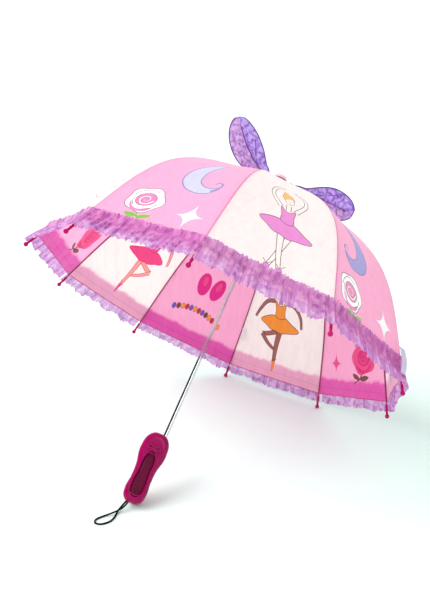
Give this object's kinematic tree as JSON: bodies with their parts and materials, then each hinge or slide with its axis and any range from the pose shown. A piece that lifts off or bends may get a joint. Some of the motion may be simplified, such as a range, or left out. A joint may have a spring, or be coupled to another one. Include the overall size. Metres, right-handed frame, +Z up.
{
  "type": "children's dome umbrella",
  "caption": "Small open dome umbrella with alternating pink and cream panels, a gathered rim, two fabric wings at the crown, a slim shaft and a slipper-shaped handle with a wrist loop.",
  "frame": {"origin": "middle of the bottom of the bounding box of the open umbrella as it lies on a floor, resting on two rib tips and the heel of its handle, without the wrist loop", "axes": "+Z up from the floor, +Y from the handle towards the crown along the floor, +X across, at right angles to the shaft"},
  "size_m": [0.7178, 0.5983, 0.5663],
  "materials": {
    "pink_cloth": "coated polyester, satin sheen",
    "cream_cloth": "coated polyester, satin sheen",
    "lilac_cloth": "thin gathered chiffon",
    "violet_organza": "crinkled organza over wire",
    "magenta_handle": "glossy moulded plastic",
    "magenta_plastic": "glossy moulded plastic",
    "chrome_shaft": "polished tube",
    "spring_steel": "spring steel",
    "steel_stretcher": "plated strip",
    "plum_rib": "coated wire",
    "black_cord": "braided cord"
  },
  "bodies": {
    "root": {"shaft": "chrome_shaft", "crown_notch": "magenta_plastic", "crown_cap": "magenta_plastic", "fairy_wings": "violet_organza", "slipper_handle": "magenta_handle", "wrist_loop": "black_cord"},
    "runner": {"runner": "magenta_plastic"},
    "upper_catch": {"upper_catch": "spring_steel"},
    "lower_catch": {"lower_catch": "spring_steel"},
    "rib_inner_01": {"rib_inner_01": "plum_rib", "canopy_gore_01": "pink_cloth"},
    "rib_outer_01": {"rib_outer_01": "plum_rib", "rib_tip_01": "magenta_plastic"},
    "stretcher_01": {"stretcher_01": "steel_stretcher"},
    "rib_inner_02": {"rib_inner_02": "plum_rib", "canopy_gore_02": "cream_cloth"},
    "rib_outer_02": {"rib_outer_02": "plum_rib", "rib_tip_02": "magenta_plastic"},
    "stretcher_02": {"stretcher_02": "steel_stretcher"},
    "rib_inner_03": {"rib_inner_03": "plum_rib", "canopy_gore_03": "pink_cloth"},
    "rib_outer_03": {"rib_outer_03": "plum_rib", "rib_tip_03": "magenta_plastic"},
    "stretcher_03": {"stretcher_03": "steel_stretcher"},
    "rib_inner_04": {"rib_inner_04": "plum_rib", "canopy_gore_04": "cream_cloth"},
    "rib_outer_04": {"rib_outer_04": "plum_rib", "rib_tip_04": "magenta_plastic"},
    "stretcher_04": {"stretcher_04": "steel_stretcher"},
    "rib_inner_05": {"rib_inner_05": "plum_rib", "canopy_gore_05": "pink_cloth"},
    "rib_outer_05": {"rib_outer_05": "plum_rib", "rib_tip_05": "magenta_plastic"},
    "stretcher_05": {"stretcher_05": "steel_stretcher"},
    "rib_inner_06": {"rib_inner_06": "plum_rib", "canopy_gore_06": "cream_cloth"},
    "rib_outer_06": {"rib_outer_06": "plum_rib", "rib_tip_06": "magenta_plastic"},
    "stretcher_06": {"stretcher_06": "steel_stretcher"},
    "rib_inner_07": {"rib_inner_07": "plum_rib", "canopy_gore_07": "pink_cloth"},
    "rib_outer_07": {"rib_outer_07": "plum_rib", "rib_tip_07": "magenta_plastic", "closure_strap": "lilac_cloth"},
    "stretcher_07": {"stretcher_07": "steel_stretcher"},
    "rib_inner_08": {"rib_inner_08": "plum_rib", "canopy_gore_08": "cream_cloth"},
    "rib_outer_08": {"rib_outer_08": "plum_rib", "rib_tip_08": "magenta_plastic"},
    "stretcher_08": {"stretcher_08": "steel_stretcher"},
    "rib_inner_09": {"rib_inner_09": "plum_rib", "canopy_gore_09": "pink_cloth"},
    "rib_outer_09": {"rib_outer_09": "plum_rib", "rib_tip_09": "magenta_plastic"},
    "stretcher_09": {"stretcher_09": "steel_stretcher"},
    "rib_inner_10": {"rib_inner_10": "plum_rib", "canopy_gore_10": "cream_cloth"},
    "rib_outer_10": {"rib_outer_10": "plum_rib", "rib_tip_10": "magenta_plastic"},
    "stretcher_10": {"stretcher_10": "steel_stretcher"}
  },
  "joints": [
    {"name": "runner_slide", "type": "slide", "parent": "root", "child": "runner", "axis": [0, -0.6919, -0.722], "range_m": [0, 0.23614], "deforming": ["canopy_gore_01", "canopy_gore_02", "canopy_gore_03", "canopy_gore_04", "canopy_gore_05", "canopy_gore_06", "canopy_gore_07", "canopy_gore_08", "canopy_gore_09", "canopy_gore_10"]},
    {"name": "rib_fold_01", "type": "hinge", "parent": "root", "child": "rib_inner_01", "pos_m": [-0.0085, 0.18057, 0.46496], "axis": [0.5878, -0.5841, 0.5598], "range_deg": [0, 62.17]},
    {"name": "rib_bend_01", "type": "hinge", "parent": "rib_inner_01", "child": "rib_outer_01", "pos_m": [-0.16706, 0.04005, 0.48484], "axis": [0.5878, -0.5841, 0.5598], "range_deg": [-27.87, 0]},
    {"name": "stretcher_fold_01", "type": "hinge", "parent": "rib_inner_01", "child": "stretcher_01", "pos_m": [-0.1545, 0.0501, 0.48213], "axis": [0.5878, -0.5841, 0.5598], "range_deg": [-124.33, 0]},
    {"name": "rib_fold_02", "type": "hinge", "parent": "root", "child": "rib_inner_02", "pos_m": [-0.0105, 0.18503, 0.46069], "axis": [0, -0.722, 0.6919], "range_deg": [0, 62.17]},
    {"name": "rib_bend_02", "type": "hinge", "parent": "rib_inner_02", "child": "rib_outer_02", "pos_m": [-0.2065, 0.12768, 0.40085], "axis": [0, -0.722, 0.6919], "range_deg": [-27.87, 0]},
    {"name": "stretcher_fold_02", "type": "hinge", "parent": "rib_inner_02", "child": "stretcher_02", "pos_m": [-0.19097, 0.13114, 0.40446], "axis": [0, -0.722, 0.6919], "range_deg": [-124.33, 0]},
    {"name": "rib_fold_03", "type": "hinge", "parent": "root", "child": "rib_inner_03", "pos_m": [-0.0085, 0.18948, 0.45642], "axis": [-0.5878, -0.5841, 0.5598], "range_deg": [0, 62.17]},
    {"name": "rib_bend_03", "type": "hinge", "parent": "rib_inner_03", "child": "rib_outer_03", "pos_m": [-0.16706, 0.21531, 0.31687], "axis": [-0.5878, -0.5841, 0.5598], "range_deg": [-27.87, 0]},
    {"name": "stretcher_fold_03", "type": "hinge", "parent": "rib_inner_03", "child": "stretcher_03", "pos_m": [-0.1545, 0.21218, 0.32679], "axis": [-0.5878, -0.5841, 0.5598], "range_deg": [-124.33, 0]},
    {"name": "rib_fold_04", "type": "hinge", "parent": "root", "child": "rib_inner_04", "pos_m": [-0.00325, 0.19224, 0.45378], "axis": [-0.9511, -0.2231, 0.2138], "range_deg": [0, 62.17]},
    {"name": "rib_bend_04", "type": "hinge", "parent": "rib_inner_04", "child": "rib_outer_04", "pos_m": [-0.06381, 0.26947, 0.26496], "axis": [-0.9511, -0.2231, 0.2138], "range_deg": [-27.87, 0]},
    {"name": "stretcher_fold_04", "type": "hinge", "parent": "rib_inner_04", "child": "stretcher_04", "pos_m": [-0.05901, 0.26226, 0.27879], "axis": [-0.9511, -0.2231, 0.2138], "range_deg": [-124.33, 0]},
    {"name": "rib_fold_05", "type": "hinge", "parent": "root", "child": "rib_inner_05", "pos_m": [0.00325, 0.19224, 0.45378], "axis": [-0.9511, 0.2231, -0.2138], "range_deg": [0, 62.17]},
    {"name": "rib_bend_05", "type": "hinge", "parent": "rib_inner_05", "child": "rib_outer_05", "pos_m": [0.06381, 0.26947, 0.26496], "axis": [-0.9511, 0.2231, -0.2138], "range_deg": [-27.87, 0]},
    {"name": "stretcher_fold_05", "type": "hinge", "parent": "rib_inner_05", "child": "stretcher_05", "pos_m": [0.05901, 0.26226, 0.27879], "axis": [-0.9511, 0.2231, -0.2138], "range_deg": [-124.33, 0]},
    {"name": "rib_fold_06", "type": "hinge", "parent": "root", "child": "rib_inner_06", "pos_m": [0.0085, 0.18948, 0.45642], "axis": [-0.5878, 0.5841, -0.5598], "range_deg": [0, 62.17]},
    {"name": "rib_bend_06", "type": "hinge", "parent": "rib_inner_06", "child": "rib_outer_06", "pos_m": [0.16706, 0.21531, 0.31687], "axis": [-0.5878, 0.5841, -0.5598], "range_deg": [-27.87, 0]},
    {"name": "stretcher_fold_06", "type": "hinge", "parent": "rib_inner_06", "child": "stretcher_06", "pos_m": [0.1545, 0.21218, 0.32679], "axis": [-0.5878, 0.5841, -0.5598], "range_deg": [-124.33, 0]},
    {"name": "rib_fold_07", "type": "hinge", "parent": "root", "child": "rib_inner_07", "pos_m": [0.0105, 0.18503, 0.46069], "axis": [0, 0.722, -0.6919], "range_deg": [0, 62.17]},
    {"name": "rib_bend_07", "type": "hinge", "parent": "rib_inner_07", "child": "rib_outer_07", "pos_m": [0.2065, 0.12768, 0.40085], "axis": [0, 0.722, -0.6919], "range_deg": [-27.87, 0]},
    {"name": "stretcher_fold_07", "type": "hinge", "parent": "rib_inner_07", "child": "stretcher_07", "pos_m": [0.19097, 0.13114, 0.40446], "axis": [0, 0.722, -0.6919], "range_deg": [-124.33, 0]},
    {"name": "rib_fold_08", "type": "hinge", "parent": "root", "child": "rib_inner_08", "pos_m": [0.0085, 0.18057, 0.46496], "axis": [0.5878, 0.5841, -0.5598], "range_deg": [0, 62.17]},
    {"name": "rib_bend_08", "type": "hinge", "parent": "rib_inner_08", "child": "rib_outer_08", "pos_m": [0.16706, 0.04005, 0.48484], "axis": [0.5878, 0.5841, -0.5598], "range_deg": [-27.87, 0]},
    {"name": "stretcher_fold_08", "type": "hinge", "parent": "rib_inner_08", "child": "stretcher_08", "pos_m": [0.1545, 0.0501, 0.48213], "axis": [0.5878, 0.5841, -0.5598], "range_deg": [-124.33, 0]},
    {"name": "rib_fold_09", "type": "hinge", "parent": "root", "child": "rib_inner_09", "pos_m": [0.00325, 0.17782, 0.4676], "axis": [0.9511, 0.2231, -0.2138], "range_deg": [0, 62.17]},
    {"name": "rib_bend_09", "type": "hinge", "parent": "rib_inner_09", "child": "rib_outer_09", "pos_m": [0.06381, -0.01411, 0.53674], "axis": [0.9511, 0.2231, -0.2138], "range_deg": [-27.87, 0]},
    {"name": "stretcher_fold_09", "type": "hinge", "parent": "rib_inner_09", "child": "stretcher_09", "pos_m": [0.05901, 0.00002, 0.53013], "axis": [0.9511, 0.2231, -0.2138], "range_deg": [-124.33, 0]},
    {"name": "rib_fold_10", "type": "hinge", "parent": "root", "child": "rib_inner_10", "pos_m": [-0.00325, 0.17782, 0.4676], "axis": [0.9511, -0.2231, 0.2138], "range_deg": [0, 62.17]},
    {"name": "rib_bend_10", "type": "hinge", "parent": "rib_inner_10", "child": "rib_outer_10", "pos_m": [-0.06381, -0.01411, 0.53674], "axis": [0.9511, -0.2231, 0.2138], "range_deg": [-27.87, 0]},
    {"name": "stretcher_fold_10", "type": "hinge", "parent": "rib_inner_10", "child": "stretcher_10", "pos_m": [-0.05901, 0.00002, 0.53013], "axis": [0.9511, -0.2231, 0.2138], "range_deg": [-124.33, 0]},
    {"name": "upper_catch_press", "type": "slide", "parent": "root", "child": "upper_catch", "axis": [0.4695, -0.6374, 0.6109], "range_m": [0, 0.0018], "stiffness_N_per_m": 400},
    {"name": "lower_catch_press", "type": "slide", "parent": "root", "child": "lower_catch", "axis": [0.4695, -0.6374, 0.6109], "range_m": [0, 0.0018], "stiffness_N_per_m": 400}
  ],
  "couplings": [
    {"joint": "rib_fold_01", "follows": "runner_slide", "rad_per_m": 4.5942},
    {"joint": "rib_bend_01", "follows": "runner_slide", "rad_per_m": -2.0591},
    {"joint": "stretcher_fold_01", "follows": "runner_slide", "rad_per_m": -9.1884},
    {"joint": "rib_fold_02", "follows": "runner_slide", "rad_per_m": 4.5942},
    {"joint": "rib_bend_02", "follows": "runner_slide", "rad_per_m": -2.0591},
    {"joint": "stretcher_fold_02", "follows": "runner_slide", "rad_per_m": -9.1884},
    {"joint": "rib_fold_03", "follows": "runner_slide", "rad_per_m": 4.5942},
    {"joint": "rib_bend_03", "follows": "runner_slide", "rad_per_m": -2.0591},
    {"joint": "stretcher_fold_03", "follows": "runner_slide", "rad_per_m": -9.1884},
    {"joint": "rib_fold_04", "follows": "runner_slide", "rad_per_m": 4.5942},
    {"joint": "rib_bend_04", "follows": "runner_slide", "rad_per_m": -2.0591},
    {"joint": "stretcher_fold_04", "follows": "runner_slide", "rad_per_m": -9.1884},
    {"joint": "rib_fold_05", "follows": "runner_slide", "rad_per_m": 4.5942},
    {"joint": "rib_bend_05", "follows": "runner_slide", "rad_per_m": -2.0591},
    {"joint": "stretcher_fold_05", "follows": "runner_slide", "rad_per_m": -9.1884},
    {"joint": "rib_fold_06", "follows": "runner_slide", "rad_per_m": 4.5942},
    {"joint": "rib_bend_06", "follows": "runner_slide", "rad_per_m": -2.0591},
    {"joint": "stretcher_fold_06", "follows": "runner_slide", "rad_per_m": -9.1884},
    {"joint": "rib_fold_07", "follows": "runner_slide", "rad_per_m": 4.5942},
    {"joint": "rib_bend_07", "follows": "runner_slide", "rad_per_m": -2.0591},
    {"joint": "stretcher_fold_07", "follows": "runner_slide", "rad_per_m": -9.1884},
    {"joint": "rib_fold_08", "follows": "runner_slide", "rad_per_m": 4.5942},
    {"joint": "rib_bend_08", "follows": "runner_slide", "rad_per_m": -2.0591},
    {"joint": "stretcher_fold_08", "follows": "runner_slide", "rad_per_m": -9.1884},
    {"joint": "rib_fold_09", "follows": "runner_slide", "rad_per_m": 4.5942},
    {"joint": "rib_bend_09", "follows": "runner_slide", "rad_per_m": -2.0591},
    {"joint": "stretcher_fold_09", "follows": "runner_slide", "rad_per_m": -9.1884},
    {"joint": "rib_fold_10", "follows": "runner_slide", "rad_per_m": 4.5942},
    {"joint": "rib_bend_10", "follows": "runner_slide", "rad_per_m": -2.0591},
    {"joint": "stretcher_fold_10", "follows": "runner_slide", "rad_per_m": -9.1884}
  ]
}
